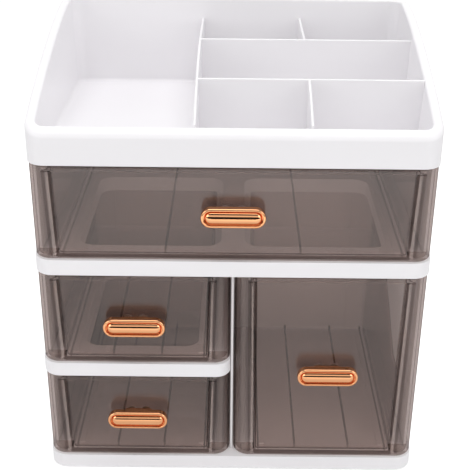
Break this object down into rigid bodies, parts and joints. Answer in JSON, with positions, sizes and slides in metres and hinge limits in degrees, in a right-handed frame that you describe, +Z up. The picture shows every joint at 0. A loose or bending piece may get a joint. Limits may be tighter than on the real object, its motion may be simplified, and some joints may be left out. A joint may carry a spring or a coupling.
{
  "type": "desktop drawer organizer",
  "caption": "White moulded desktop organizer with an open divided tray on top and smoky see-through drawers with plated pill-shaped knobs.",
  "frame": {"origin": "middle of the bounding box in plan, on the plane that the feet stand on", "axes": "+Z up, -Y out of the drawer fronts, +X to the right seen from the front"},
  "size_m": [0.292, 0.2132, 0.3372],
  "materials": {
    "white_plastic": "smooth white moulding, half gloss",
    "smoky_plastic": "see-through smoky grey-brown, high gloss",
    "rose_plating": "mirror-bright rose gold plating",
    "screw_steel": "plain bright steel",
    "foot_rubber": "matte pale rubber"
  },
  "bodies": {
    "housing": {"base_panel": "white_plastic", "foot_front_left": "foot_rubber", "foot_front_right": "foot_rubber", "foot_back_left": "foot_rubber", "foot_back_right": "foot_rubber", "lower_left_side": "white_plastic", "lower_right_side": "white_plastic", "lower_back_panel": "white_plastic", "partition": "white_plastic", "small_shelf": "white_plastic", "main_shelf": "white_plastic", "upper_left_side": "white_plastic", "upper_right_side": "white_plastic", "upper_back_panel": "white_plastic", "top_tray": "white_plastic"},
    "wide": {"wide_drawer": "smoky_plastic", "wide_drawer_knob": "rose_plating", "wide_drawer_screw_left": "screw_steel", "wide_drawer_screw_right": "screw_steel"},
    "upper_small": {"upper_small_drawer": "smoky_plastic", "upper_small_drawer_knob": "rose_plating", "upper_small_drawer_screw_left": "screw_steel", "upper_small_drawer_screw_right": "screw_steel"},
    "lower_small": {"lower_small_drawer": "smoky_plastic", "lower_small_drawer_knob": "rose_plating", "lower_small_drawer_screw_left": "screw_steel", "lower_small_drawer_screw_right": "screw_steel"},
    "tall": {"tall_drawer": "smoky_plastic", "tall_drawer_knob": "rose_plating", "tall_drawer_screw_left": "screw_steel", "tall_drawer_screw_right": "screw_steel"}
  },
  "joints": [
    {"name": "wide_drawer_slide", "type": "slide", "parent": "housing", "child": "wide", "axis": [0, -1, 0], "range_m": [0, 0.15]},
    {"name": "upper_small_drawer_slide", "type": "slide", "parent": "housing", "child": "upper_small", "axis": [0, -1, 0], "range_m": [0, 0.15]},
    {"name": "lower_small_drawer_slide", "type": "slide", "parent": "housing", "child": "lower_small", "axis": [0, -1, 0], "range_m": [0, 0.15]},
    {"name": "tall_drawer_slide", "type": "slide", "parent": "housing", "child": "tall", "axis": [0, -1, 0], "range_m": [0, 0.15]}
  ]
}
